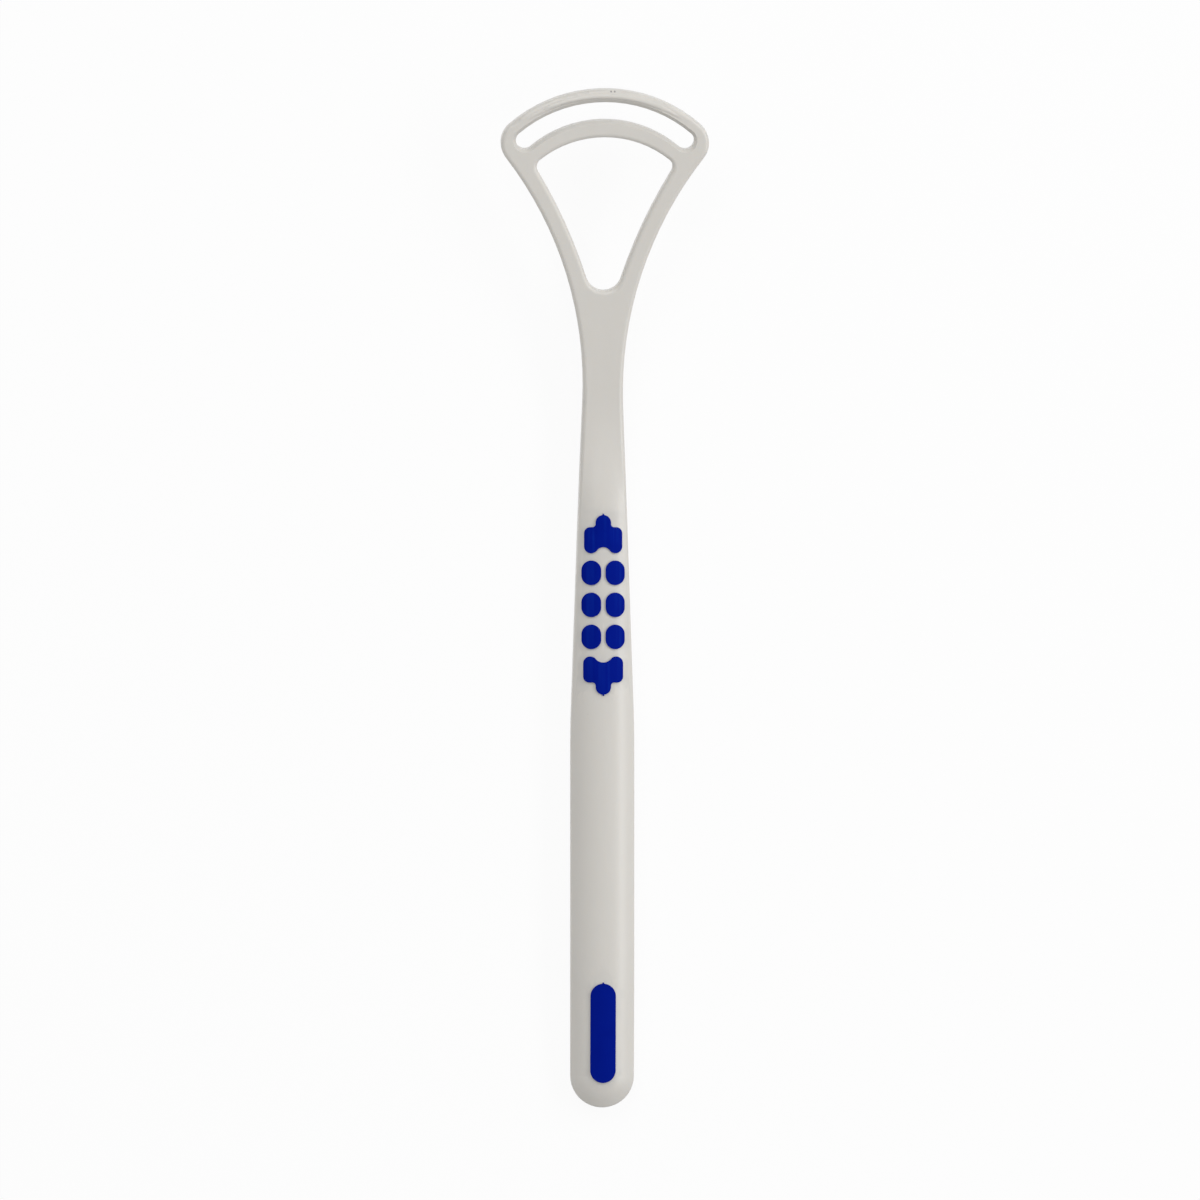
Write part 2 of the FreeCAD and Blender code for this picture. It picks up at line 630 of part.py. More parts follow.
def add_handle():
    """Handle and neck: half a section turned into a round tail, then lofts through sections."""
    body = add_body("handle")
    profile = add_section(body, "tail_profile", rise_section(0), draw_half_section)
    doc.recompute()
    tail = body.newObject("PartDesign::Revolution", "tail")
    tail.Profile = profile
    tail.ReferenceAxis = (profile, ["V_Axis"])
    tail.Angle = 180
    tail.Reversed = True
    doc.recompute()
    last = add_section(body, "tail_section", rise_section(0))
    for name, straight, sections in handle_stretches():
        sketches = [add_section(body, f"{name}_section_{number}", section)
                    for number, section in enumerate(sections, start=1)]
        doc.recompute()
        stretch = body.newObject("PartDesign::AdditiveLoft", name)
        stretch.Profile = last
        stretch.Sections = sketches
        stretch.Ruled = straight
        doc.recompute()
        last = sketches[-1]
    return body


# Cuts


def add_pocket(body, name, sketch, sides="Symmetric"):
    """Pocket through the whole body that has to take material away."""
    before = body.Tip.Shape.Volume
    pocket = body.newObject("PartDesign::Pocket", name)
    pocket.Profile = sketch
    pocket.Type = "ThroughAll"
    pocket.SideType = sides
    doc.recompute()
    if pocket.Shape.Volume >= before:
        raise RuntimeError(f"{name} cuts nothing")


def draw_frame(sketch, reach, low, high):
    """Plain rectangle about the middle plane."""
    corners = [Vector(-value(reach), value(low), 0), Vector(value(reach), value(low), 0),
               Vector(value(reach), value(high), 0), Vector(-value(reach), value(high), 0)]
    sides = [sketch.addGeometry(Part.LineSegment(first, last))
             for first, last in zip(corners, corners[1:] + corners[:1])]
    for here, there in zip(sides, sides[1:] + sides[:1]):
        sketch.addConstraint(Sketcher.Constraint("Coincident", here, END, there, START))
    for side in sides[0::2]:
        sketch.addConstraint(Sketcher.Constraint("Horizontal", side))
    for side in sides[1::2]:
        upright(sketch, side)
    across(sketch, "frame_right", reach, 1, sides[1], START)
    across(sketch, "frame_left", reach, -1, sides[3], START)
    along(sketch, "frame_low", low, sides[0], START)
    along(sketch, "frame_high", high, sides[2], START)


# Head


def at_neck(point):
    return abs(point.y) < TOLERANCE


def on_slot(point):
    """Whether a point of the head's plane is an end of one of the slot's arcs."""
    reach = math.hypot(point.x, point.y - value(BAR_CENTRE))
    return min(abs(reach - value(radius)) for radius in (SLOT_UPPER, SLOT_LOWER)) < TOLERANCE


def rim_edges(shape, side, wanted):
    """Edges round the head's front (1) or back (-1) whose points in the head's plane are wanted."""
    frame = FreeCAD.Placement(Vector(0, value(NECK), value(NECK_HEIGHT)),
                              FreeCAD.Rotation(Vector(1, 0, 0), value("head_tilt"))).inverse()
    height = side * value("head_thickness / 2")
    names = []
    for number, edge in enumerate(shape.Edges, start=1):
        points = [frame.multVec(vertex.Point) for vertex in edge.Vertexes]
        if wanted(points) and all(abs(point.z - height) < TOLERANCE for point in points):
            names.append(f"Edge{number}")
    return names


def rim(points):
    """Any edge apart from the one where the neck joins."""
    return not all(at_neck(point) for point in points)


def slot_rim(points):
    return all(on_slot(point) for point in points)


def add_edge_feature(body, kind, name, side, wanted, prop, expression):
    """Fillet or chamfer of the wanted edges round the front (1) or back (-1)."""
    base = body.Tip
    feature = body.newObject(kind, name)
    feature.Base = (base, rim_edges(base.Shape, side, wanted))
    feature.setExpression(prop, cells(expression))
    doc.recompute()


def add_crest(body):
    """Roof-shaped crest along the outer bar: a revolved profile that sinks into the bar at both corners."""
    lean = "(head_tilt + crest_fade)"
    bar_middle = "(head_length - outer_bar_width / 2)"
    bar_station = f"({NECK} + {bar_middle} * cos(head_tilt) - head_thickness / 2 * sin(head_tilt))"
    bar_front = f"({NECK_HEIGHT} + {bar_middle} * sin(head_tilt) + head_thickness / 2 * cos(head_tilt))"
    ring_radius = "((outer_arc_radius - outer_bar_width / 2) * cos(crest_fade))"
    sweep = f"(2 * asin({CORNER_REACH} / (outer_arc_radius - corner_radius)))"
    foot = "(outer_bar_width / 2 - crest_inset)"
    tip_half = "(crest_tip_radius * sin(crest_flank_angle))"
    tip_drop = "(crest_height - crest_tip_radius)"
    tip_edge = f"({tip_drop} + crest_tip_radius * cos(crest_flank_angle))"
    flank_foot = f"({tip_edge} - ({foot} - {tip_half}) * tan(crest_flank_angle))"
    root = f"({flank_foot} - crest_inset)"
    # Corners of the profile as reach from the bar's middle line and height over its front.
    profile = [(f"-{tip_half}", tip_edge), (f"-{foot}", flank_foot), (f"-{foot}", root),
               (foot, root), (foot, flank_foot), (tip_half, tip_edge)]
    ring_station = f"({bar_station} - {ring_radius} * cos{lean})"
    ring_height = f"({bar_front} - {ring_radius} * sin{lean})"
    sketch = add_sketch(body, "crest_sketch", "YZ_Plane", (ring_station, ring_height, "0"), lean,
                        Vector(0, 0, 1))
    turned = [(f"({ring_radius} + {reach} * cos(crest_fade) + {height} * sin(crest_fade))",
               f"({height} * cos(crest_fade) - {reach} * sin(crest_fade))") for reach, height in profile]
    corners = [Vector(value(reach), value(height), 0) for reach, height in turned]
    tip_centre = Vector(value(f"{ring_radius} + {tip_drop} * sin(crest_fade)"),
                        value(f"{tip_drop} * cos(crest_fade)"), 0)
    runs = [line_run(first, last) for first, last in zip(corners, corners[1:])]
    runs.append(arc_run(tip_centre, corners[-1], corners[0], 1))
    sides = [draw(sketch, run)[0] for run in runs]
    for here, there in zip(sides, sides[1:] + sides[:1]):
        sketch.addConstraint(Sketcher.Constraint("Coincident", here, END, there, START))
    for side, (reach, height) in zip(sides, turned):
        across(sketch, f"reach_{side}", reach, 1, side, START)
        along(sketch, f"height_{side}", height, side, START)
    radius_of(sketch, "tip_radius", "crest_tip_radius", sides[-1])
    doc.recompute()
    crest = body.newObject("PartDesign::Revolution", "scraping_crest")
    crest.Profile = sketch
    crest.ReferenceAxis = (sketch, ["V_Axis"])
    crest.Midplane = True
    crest.setExpression("Angle", cells(sweep))
    doc.recompute()


# Soft inlays


DOT_STATION = f"({NECK_PATH} - dots_to_neck)"
DOT_ROWS = {
    "upper": f"({DOT_STATION} + dot_pitch)",
    "middle": DOT_STATION,
    "lower": f"({DOT_STATION} - dot_pitch)",
}
DOT_OFFSET = "((dot_gap + dot_width) / 2)"
DOTS_REACH = "(dot_pitch + dot_length / 2 + arrow_gap)"
GRIP_FLOOR = "(handle_front - inlay_depth)"
TAIL_FLOOR = "(tail_front - inlay_depth)"
# The tail pad's front slopes evenly from the round tail to the pad's upper end.
PAD_RUN = f"(tail_pad_station + tail_pad_length / 2 - {TAIL})"
PAD_SHARE = f"min(1; {PAD_RUN} / (tail_slope_end - {TAIL}))"
PAD_SLOPE = f"atan2((handle_front - tail_front) * {slowing(PAD_SHARE)}; {PAD_RUN})"


def inlay_layout():
    """Each inlay's name with its floor height, and the function and values that draw its outline."""
    layout = {}
    for row_name, station in DOT_ROWS.items():
        for side_name, side in (("left", -1), ("right", 1)):
            layout[f"{row_name}_{side_name}_dot"] = (
                GRIP_FLOOR, draw_stadium, (side, DOT_OFFSET, station, "dot_width", "dot_length"))
    for name, way, sign in (("upper_arrow", 1, "+"), ("lower_arrow", -1, "-")):
        layout[name] = (GRIP_FLOOR, draw_arrow, (way, f"{DOT_STATION} {sign} {DOTS_REACH}", f"{name}_width"))
    layout["tail_pad"] = (
        TAIL_FLOOR, draw_stadium, (0, "0", "tail_pad_station", "tail_pad_width", "tail_pad_length"))
    return layout


def add_core(name, floor, function, arguments):
    """Solid that an inlay fills, from the floor of its recess to well over the front."""
    core = add_body(f"{name}_core")
    sketch = add_sketch(core, f"{name}_outline", "XY_Plane", ("0", "0", floor))
    function(sketch, *arguments)
    doc.recompute()
    slab = core.newObject("PartDesign::Pad", f"{name}_slab")
    slab.Profile = sketch
    slab.setExpression("Length", cells("handle_front"))
    doc.recompute()
    return core


def add_skin(name, front, slope):
    """Cylinder along the tool whose top is the crowned front, raised as far as the inlays stand proud."""
    skin = doc.addObject("Part::Cylinder", name)
    skin.setExpression("Radius", cells(FRONT_RADIUS))
    skin.setExpression("Height", cells("overall_length"))
    skin.Placement.Rotation = FreeCAD.Rotation(Vector(-1, 0, 0), 90)
    skin.setExpression("Placement.Rotation.Angle", cells(f"90 deg - {slope}"))
    skin.setExpression("Placement.Base.y", cells("-overall_length / 2"))
    skin.setExpression("Placement.Base.z", cells(f"{front} + inlay_proud - {FRONT_RADIUS} / cos({slope})"))
    return skin


def add_inlay(name, core, skin):
    """Soft inlay: its core cut to the raised front of the handle."""
    inlay = doc.addObject("Part::Common", name)
    inlay.Label = name
    inlay.Base = core
    inlay.Tool = skin
    doc.recompute()
    return inlay


# Assembly


def build_handle():
    """Handle and neck with the flat land along the back that the tool rests on."""
    body = add_handle()
    land = add_sketch(body, "land_sketch", "XY_Plane")
    draw_frame(land, "head_width", "-handle_width", "overall_length + handle_width")
    doc.recompute()
    add_pocket(body, "back_land", land, "One side")
    return body


def build_head():
    """Flat head plate with its window, slot, broken edges and scraping crest."""
    body = add_body("head")
    outlines = {"plate": draw_plate, "head_window": draw_window, "curved_slot": draw_slot}
    sketches = {}
    for name, function in outlines.items():
        sketches[name] = add_sketch(body, f"{name}_sketch", "XY_Plane", HEAD_PLACE, "head_tilt")
        function(sketches[name])
    doc.recompute()
    plate = body.newObject("PartDesign::Pad", "plate")
    plate.Profile = sketches["plate"]
    plate.SideType = "Symmetric"
    plate.setExpression("Length", cells("head_thickness"))
    doc.recompute()
    add_pocket(body, "head_window", sketches["head_window"])
    add_edge_feature(body, "PartDesign::Fillet", "front_rounding", 1, rim, "Radius", FRONT_ROUNDING)
    add_pocket(body, "curved_slot", sketches["curved_slot"])
    add_edge_feature(body, "PartDesign::Chamfer", "slot_bevel", 1, slot_rim, "Size", SLOT_CHAMFER)
    add_edge_feature(body, "PartDesign::Chamfer", "back_bevel", -1, rim, "Size", BACK_CHAMFER)
    add_crest(body)
    return body


def build_pieces():
    """The moulding with its recesses, and the soft inlays that fill them."""
    moulding = doc.addObject("Part::Fuse", "moulding")
    moulding.Base = build_handle()
    moulding.Tool = build_head()
    cores = {name: add_core(name, *recipe) for name, recipe in inlay_layout().items()}
    recesses = doc.addObject("Part::Compound", "recesses")
    recesses.Links = list(cores.values())
    scraper = doc.addObject("Part::Cut", "scraper_body")
    scraper.Label = "scraper_body"
    scraper.Base = moulding
    scraper.Tool = recesses
    grip_skin = add_skin("grip_skin", "handle_front", "0 deg")
    tail_skin = add_skin("tail_skin", f"tail_front - {TAIL} * tan({PAD_SLOPE})", PAD_SLOPE)
    skins = {name: tail_skin if name == "tail_pad" else grip_skin for name in cores}
    return [scraper, *(add_inlay(name, core, skins[name]) for name, core in cores.items())]


def main():
    pieces = build_pieces()
    doc.recompute()
    for item in doc.Objects:
        if {"Invalid", "Error"} & set(item.State):
            raise RuntimeError(f"{item.Label} failed: {item.State}")
    for piece in pieces:
        shape = piece.Shape
        if shape.isNull() or not shape.isValid() or len(shape.Solids) != 1:
            raise RuntimeError(f"{piece.Label} is not one valid solid")
    os.makedirs("parts", exist_ok=True)
    for piece in pieces:
        piece.Shape.exportStep(f"parts/{piece.Label}.step")
        print(piece.Label, round(piece.Shape.Volume, 2), "cubic millimetres")


main()
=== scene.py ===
import bpy
import math
from mathutils import Matrix, Vector
from mathutils.kdtree import KDTree


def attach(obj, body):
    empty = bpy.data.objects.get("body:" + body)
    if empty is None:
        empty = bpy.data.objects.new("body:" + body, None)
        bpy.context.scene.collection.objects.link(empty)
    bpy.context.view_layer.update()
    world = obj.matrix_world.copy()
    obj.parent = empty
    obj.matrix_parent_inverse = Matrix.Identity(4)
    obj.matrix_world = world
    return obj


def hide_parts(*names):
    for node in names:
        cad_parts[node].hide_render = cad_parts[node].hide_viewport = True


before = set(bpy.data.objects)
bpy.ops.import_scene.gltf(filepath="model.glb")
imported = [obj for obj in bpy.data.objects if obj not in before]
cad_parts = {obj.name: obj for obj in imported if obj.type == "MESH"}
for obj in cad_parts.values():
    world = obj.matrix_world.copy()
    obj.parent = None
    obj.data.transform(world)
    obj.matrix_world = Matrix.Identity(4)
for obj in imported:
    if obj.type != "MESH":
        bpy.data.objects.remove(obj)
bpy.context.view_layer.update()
mm = 0.001
print("frame loaded,", len(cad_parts), "nodes")


def pickOnly(piece):
    # operators act on all that is selected, so the CAD nodes are let go first
    bpy.ops.object.select_all(action="DESELECT")
    piece.select_set(True)
    bpy.context.view_layer.objects.active = piece


def editAll():
    bpy.ops.object.mode_set(mode="EDIT")
    bpy.ops.mesh.select_all(action="SELECT")


def applyModifier(piece, kind, **settings):
    modifier = piece.modifiers.new(kind.title(), kind)
    for name, setting in settings.items():
        setattr(modifier, name, setting)
    pickOnly(piece)
    bpy.ops.object.modifier_apply(modifier=modifier.name)


def evenShading(piece, sharpDegrees):
    pickOnly(piece)
    bpy.ops.object.shade_smooth_by_angle(angle=math.radians(sharpDegrees))
    applyModifier(piece, "WEIGHTED_NORMAL", mode="FACE_AREA", keep_sharp=True)


def pieceName(nodeName, ending):
    # upper_arrow and inlay give upperArrowInlay
    first, *others = nodeName.split("_") + [ending]
    return first + "".join(word.title() for word in others)


def copyNode(nodeName, newName, mergeDistance):
    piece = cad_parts[nodeName].copy()
    piece.data = piece.data.copy()
    piece.parent = None
    piece.name = piece.data.name = newName
    for key in list(piece.keys()):
        del piece[key]
    bpy.context.scene.collection.objects.link(piece)
    pickOnly(piece)
    bpy.ops.mesh.customdata_custom_splitnormals_clear()
    editAll()
    bpy.ops.mesh.remove_doubles(threshold=mergeDistance)  # the node's triangles are loose
    bpy.ops.object.mode_set(mode="OBJECT")
    return piece


def takeNormals(piece, nodeName):
    # each triangle takes the true normals that the same triangle of the CAD node has at its corners
    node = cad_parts[nodeName].data
    triangles = KDTree(len(node.polygons))
    for triangle in node.polygons:
        triangles.insert(triangle.center, triangle.index)
    triangles.balance()
    pickOnly(piece)
    bpy.ops.object.shade_smooth()
    normals = [Vector((0.0, 0.0, 1.0))] * len(piece.data.loops)
    for triangle in piece.data.polygons:
        same = node.polygons[triangles.find(triangle.center)[1]]
        for corner, vertex in zip(triangle.loop_indices, triangle.vertices):
            place = piece.data.vertices[vertex].co
            apart = [(node.vertices[there].co - place).length for there in same.vertices]
            nearest = same.loop_indices[apart.index(min(apart))]
            normals[corner] = node.corner_normals[nearest].vector
    piece.data.normals_split_custom_set(normals)


def finishPiece(piece, material, nodeName=None):
    piece.data.materials.clear()
    piece.data.materials.append(material)
    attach(piece, "root")
    if nodeName:
        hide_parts(nodeName)


def addNode(tree, kind, inputs=None, **settings):
    newNode = tree.nodes.new(kind)
    for name, setting in settings.items():
        setattr(newNode, name, setting)
    for name, value in (inputs or {}).items():
        if isinstance(value, bpy.types.NodeSocket):
            tree.links.new(value, newNode.inputs[name])
        else:
            newNode.inputs[name].default_value = value
    return newNode


def mathNode(tree, operation, first, second=0.0):
    return addNode(tree, "ShaderNodeMath", {0: first, 1: second}, operation=operation).outputs[0]


def vectorNode(tree, operation, first, second):
    return addNode(tree, "ShaderNodeVectorMath", {0: first, 1: second}, operation=operation)


def startMaterial(name):
    material = bpy.data.materials.new(name)
    material.use_nodes = True
    tree = material.node_tree
    shader = tree.nodes["Principled BSDF"]
    coords = tree.nodes.new("ShaderNodeTexCoord").outputs["Object"]
    return material, tree, shader, coords


# shared effect: fine spark-eroded texture, slow flow marks along the tool and sparse specks
mouldedEffect = {
    "inputs": {"Grain Scale": 5000.0, "Wave Scale": 260.0, "Flow Scale": 190.0, "Flow Stretch": 0.15,
               "Speck Scale": 420.0, "Speck Size": 0.03},
    "grainNoise": {"Detail": 3.0, "Roughness": 0.6},
    "waveNoise": {"Detail": 1.0},
    "flowNoise": {"Detail": 3.0, "Distortion": 0.4},
    "grainShare": 0.35,  # of the grain in the height, beside the slow waves
    "speckChance": 0.72,  # cells with a lower random number stay clean
}


def startGroup(name, inputs, outputs):
    group = bpy.data.node_groups.new(name, "ShaderNodeTree")
    sockets = group.interface
    sockets.new_socket("Vector", in_out="INPUT", socket_type="NodeSocketVector")
    for inputName, default in inputs.items():
        socket = sockets.new_socket(inputName, in_out="INPUT", socket_type="NodeSocketFloat")
        socket.default_value = default
    for outputName in outputs:
        sockets.new_socket(outputName, in_out="OUTPUT", socket_type="NodeSocketFloat")
    given = group.nodes.new("NodeGroupInput").outputs
    result = group.nodes.new("NodeGroupOutput").inputs
    return group, given, result


def noise(tree, place, scale, others=None):
    values = {"Vector": place, "Scale": scale, **(others or {})}
    return addNode(tree, "ShaderNodeTexNoise", values).outputs["Fac"]


def ramp(tree, value, low, high):
    limits = {"Value": value, "From Min": low, "From Max": high}
    return addNode(tree, "ShaderNodeMapRange", limits).outputs[0]


def makeMouldedSurface():
    v = mouldedEffect
    group, given, result = startGroup("mouldedSurface", v["inputs"], ("Height", "Tone", "Specks"))
    place = given["Vector"]
    grain = noise(group, place, given["Grain Scale"], v["grainNoise"])
    wave = noise(group, place, given["Wave Scale"], v["waveNoise"])
    along = addNode(group, "ShaderNodeCombineXYZ", {"X": 1.0, "Y": given["Flow Stretch"], "Z": 1.0})
    drawn = vectorNode(group, "MULTIPLY", place, along.outputs[0]).outputs["Vector"]
    flow = noise(group, drawn, given["Flow Scale"], v["flowNoise"])
    cell = addNode(group, "ShaderNodeTexVoronoi", {"Vector": place, "Scale": given["Speck Scale"]}).outputs
    near = mathNode(group, "LESS_THAN", cell["Distance"], given["Speck Size"])
    chance = addNode(group, "ShaderNodeSeparateColor", {"Color": cell["Color"]}).outputs["Red"]
    chosen = mathNode(group, "GREATER_THAN", chance, v["speckChance"])
    height = mathNode(group, "ADD", mathNode(group, "MULTIPLY", grain, v["grainShare"]), wave)
    group.links.new(height, result["Height"])
    group.links.new(flow, result["Tone"])
    group.links.new(mathNode(group, "MULTIPLY", near, chosen), result["Specks"])
    return group


# shared effect: edges rubbed by use, and hair-fine scuffs that lie mostly along the tool
wearEffect = {
    "inputs": {"Edge Start": 0.505, "Edge End": 0.56, "Scuff Scale": 900.0},
    "patchScale": 330.0,
    "patchNoise": {"Detail": 2.0},
    "scuffNoise": {"Detail": 1.0},
    "patchRange": (0.45, 0.65),  # scuffs show only where the patches are strong
    "scuffTurn": 0.2,  # radians off the tool's length
    "scuffStretch": 0.03,
    "scuffRange": (0.64, 0.72),
}


def makeHandledWear():
    v = wearEffect
    group, given, result = startGroup("handledWear", v["inputs"], ("Edges", "Scuffs"))
    place = given["Vector"]
    pointed = group.nodes.new("ShaderNodeNewGeometry").outputs["Pointiness"]
    ridge = ramp(group, pointed, given["Edge Start"], given["Edge End"])
    patches = noise(group, place, v["patchScale"], v["patchNoise"])
    group.links.new(mathNode(group, "MULTIPLY", ridge, patches), result["Edges"])
    turned = addNode(group, "ShaderNodeMapping", {"Vector": place, "Rotation": (0.0, 0.0, v["scuffTurn"]),
                                                  "Scale": (1.0, v["scuffStretch"], 1.0)}).outputs[0]
    hair = noise(group, turned, given["Scuff Scale"], v["scuffNoise"])
    lines = ramp(group, hair, *v["scuffRange"])
    rubbed = ramp(group, patches, *v["patchRange"])
    group.links.new(mathNode(group, "MULTIPLY", lines, rubbed), result["Scuffs"])
    return group


mouldedSurface = makeMouldedSurface()
handledWear = makeHandledWear()

whitePlastic = {
    "pale": (0.690, 0.668, 0.628, 1.0),
    "deep": (0.662, 0.638, 0.594, 1.0),
    "worn": (0.600, 0.586, 0.558, 1.0),  # rubbed edges take on a little grey
    "speck": (0.54, 0.52, 0.48, 1.0),
    "markColour": (0.30, 0.29, 0.28, 1.0),
    "markPlaces": (0.9 * mm, 1.5 * mm),  # two tiny mould marks on top of the outer bar, across
    "markStation": 83.35 * mm,
    "markRadii": (0.1 * mm, 0.2 * mm),  # dark up to the first, gone at the second
    "roughness": (0.30, 0.38),
    "scuffRoughness": 0.10,
    "edgeGloss": 0.06,
    "bumpStrength": 0.5,
    "bumpDistance": 0.012 * mm,
    "scuffDepth": 0.004 * mm,
    "seamStrength": 0.6,
    "seamHalfWidth": 0.07 * mm,  # parting seam of the mould along the side walls
    "seamHeight": 0.04 * mm,
    "seamLevel": 2.9 * mm,
    "bendStart": 20.4 * mm,
    "bendEnd": 34.9 * mm,
    "headTilt": 9.0,
    "flatAngles": (2.0, 0.5),  # degrees off the head's flats: full wear at the first, none at the second
    "scatterWeight": 0.12,  # light that enters the plastic
    "scatterRadius": (1.0, 0.8, 0.6),
    "scatterDepth": 0.6 * mm,
    "ior": 1.49,
}


def blendColours(tree, share, first, second):
    # either colour is a socket or a plain value
    blend = addNode(tree, "ShaderNodeMix", {0: share, 6: first, 7: second}, data_type="RGBA")
    return blend.outputs[2]


def placeEffect(tree, group, coords, inputs=None):
    placed = addNode(tree, "ShaderNodeGroup", node_tree=group)
    tree.links.new(coords, placed.inputs["Vector"])
    for name, value in (inputs or {}).items():
        placed.inputs[name].default_value = value
    return placed.outputs


def bumpNode(tree, height, strength, distance, under=None, invert=False):
    # under is the normal that this bump lies on
    values = {"Height": height, "Strength": strength, "Distance": distance}
    if under is not None:
        values["Normal"] = under
    return addNode(tree, "ShaderNodeBump", values, invert=invert).outputs[0]


def mouldMarks(tree, coords):
    # mask of the two specks, round in plan
    v = whitePlastic
    flat = vectorNode(tree, "MULTIPLY", coords, (1.0, 1.0, 0.0)).outputs["Vector"]
    marks = 0.0
    for across in v["markPlaces"]:
        spot = vectorNode(tree, "DISTANCE", flat, (across, v["markStation"], 0.0)).outputs["Value"]
        dark = ramp(tree, spot, *reversed(v["markRadii"]))
        marks = mathNode(tree, "MAXIMUM", dark, marks)
    return marks


def partingSeam(tree, coords):
    # the seam follows the middle of the walls: level on the handle, then up with the head
    v = whitePlastic
    place = addNode(tree, "ShaderNodeSeparateXYZ", {"Vector": coords}).outputs
    middleOfBend = (v["bendStart"] + v["bendEnd"]) / 2
    past = mathNode(tree, "MAXIMUM", mathNode(tree, "SUBTRACT", place["Y"], middleOfBend), 0.0)
    climb = mathNode(tree, "MULTIPLY", past, math.tan(math.radians(v["headTilt"])))
    level = mathNode(tree, "SUBTRACT", place["Z"], climb)
    offSeam = mathNode(tree, "ABSOLUTE", mathNode(tree, "SUBTRACT", level, v["seamLevel"]))
    limits = {"Value": offSeam, "From Max": v["seamHalfWidth"], "To Min": 1.0, "To Max": 0.0}
    return addNode(tree, "ShaderNodeMapRange", limits, interpolation_type="SMOOTHSTEP").outputs[0]


def wearOffFlats(tree, edges):
    # the mesh has no points inside the head's flats, so the wear of their rims would run across them
    v = whitePlastic
    tilt = math.radians(v["headTilt"])
    facing = addNode(tree, "ShaderNodeNewGeometry").outputs["True Normal"]
    ownFacing = addNode(tree, "ShaderNodeVectorTransform", {"Vector": facing}, vector_type="NORMAL",
                        convert_from="WORLD", convert_to="OBJECT").outputs[0]
    flatFacing = (0.0, -math.sin(tilt), math.cos(tilt))
    along = vectorNode(tree, "DOT_PRODUCT", ownFacing, flatFacing).outputs["Value"]
    rounded, flat = [math.cos(math.radians(angle)) for angle in v["flatAngles"]]
    offFlats = ramp(tree, mathNode(tree, "ABSOLUTE", along), flat, rounded)
    return mathNode(tree, "MULTIPLY", edges, offFlats)


def makeWhitePlastic():
    v = whitePlastic
    material, tree, shader, coords = startMaterial("satinWhitePlastic")
    surface = placeEffect(tree, mouldedSurface, coords)
    wear = placeEffect(tree, handledWear, coords)
    edges = wearOffFlats(tree, wear["Edges"])
    toned = blendColours(tree, surface["Tone"], v["deep"], v["pale"])
    worn = blendColours(tree, edges, toned, v["worn"])
    specked = blendColours(tree, surface["Specks"], worn, v["speck"])
    marked = blendColours(tree, mouldMarks(tree, coords), specked, v["markColour"])
    tree.links.new(marked, shader.inputs["Base Color"])
    satin = addNode(tree, "ShaderNodeMapRange", {"Value": surface["Tone"], "To Min": v["roughness"][0],
                                                 "To Max": v["roughness"][1]}).outputs[0]
    rougher = mathNode(tree, "MULTIPLY", wear["Scuffs"], v["scuffRoughness"])
    smoother = mathNode(tree, "MULTIPLY", edges, v["edgeGloss"])
    worked = mathNode(tree, "SUBTRACT", mathNode(tree, "ADD", satin, rougher), smoother)
    tree.links.new(worked, shader.inputs["Roughness"])
    grained = bumpNode(tree, surface["Height"], v["bumpStrength"], v["bumpDistance"])
    scuffed = bumpNode(tree, wear["Scuffs"], v["bumpStrength"], v["scuffDepth"], grained, invert=True)
    seamed = bumpNode(tree, partingSeam(tree, coords), v["seamStrength"], v["seamHeight"], scuffed)
    tree.links.new(seamed, shader.inputs["Normal"])
    shader.inputs["Subsurface Weight"].default_value = v["scatterWeight"]
    shader.inputs["Subsurface Radius"].default_value = v["scatterRadius"]
    shader.inputs["Subsurface Scale"].default_value = v["scatterDepth"]
    shader.inputs["IOR"].default_value = v["ior"]
    return material


softBlue = {
    "pale": (0.0005, 0.0098, 0.265, 1.0),
    "deep": (0.0003, 0.0070, 0.225, 1.0),
    "worn": (0.002, 0.020, 0.30, 1.0),
    "dust": (0.012, 0.040, 0.30, 1.0),
    "dustShare": 0.35,
    "roughness": (0.50, 0.62),
    "scuffRoughness": 0.08,
    "bumpStrength": 0.5,
    "bumpDistance": 0.02 * mm,
    "specular": 0.02,
    "texture": {"Grain Scale": 7000.0, "Wave Scale": 500.0, "Flow Scale": 420.0, "Flow Stretch": 1.0,
                "Speck Scale": 1600.0, "Speck Size": 0.07},
    "wear": {"Edge End": 0.62, "Scuff Scale": 1500.0},
}


def makeSoftBlue():
    v = softBlue
    material, tree, shader, coords = startMaterial("softBlueElastomer")
    surface = placeEffect(tree, mouldedSurface, coords, v["texture"])
    wear = placeEffect(tree, handledWear, coords, v["wear"])
    toned = blendColours(tree, surface["Tone"], v["deep"], v["pale"])
    worn = blendColours(tree, wear["Edges"], toned, v["worn"])
    dust = mathNode(tree, "MULTIPLY", surface["Specks"], v["dustShare"])
    dusted = blendColours(tree, dust, worn, v["dust"])
    tree.links.new(dusted, shader.inputs["Base Color"])
    matt = addNode(tree, "ShaderNodeMapRange", {"Value": surface["Height"], "To Min": v["roughness"][0],
                                                "To Max": v["roughness"][1]}).outputs[0]
    scuffed = mathNode(tree, "ADD", matt, mathNode(tree, "MULTIPLY", wear["Scuffs"], v["scuffRoughness"]))
    tree.links.new(scuffed, shader.inputs["Roughness"])
    grained = bumpNode(tree, surface["Height"], v["bumpStrength"], v["bumpDistance"])
    tree.links.new(grained, shader.inputs["Normal"])
    shader.inputs["Specular IOR Level"].default_value = v["specular"]
    return material


satinWhite = makeWhitePlastic()
mattBlue = makeSoftBlue()
print("materials made")

whiteMoulding = {"node": "scraper_body", "mergeDistance": 0.002 * mm}


def makeWhiteMoulding():
    v = whiteMoulding
    moulding = copyNode(v["node"], "whiteMoulding", v["mergeDistance"])
    takeNormals(moulding, v["node"])
    finishPiece(moulding, satinWhite, v["node"])


makeWhiteMoulding()
print("white moulding dressed")

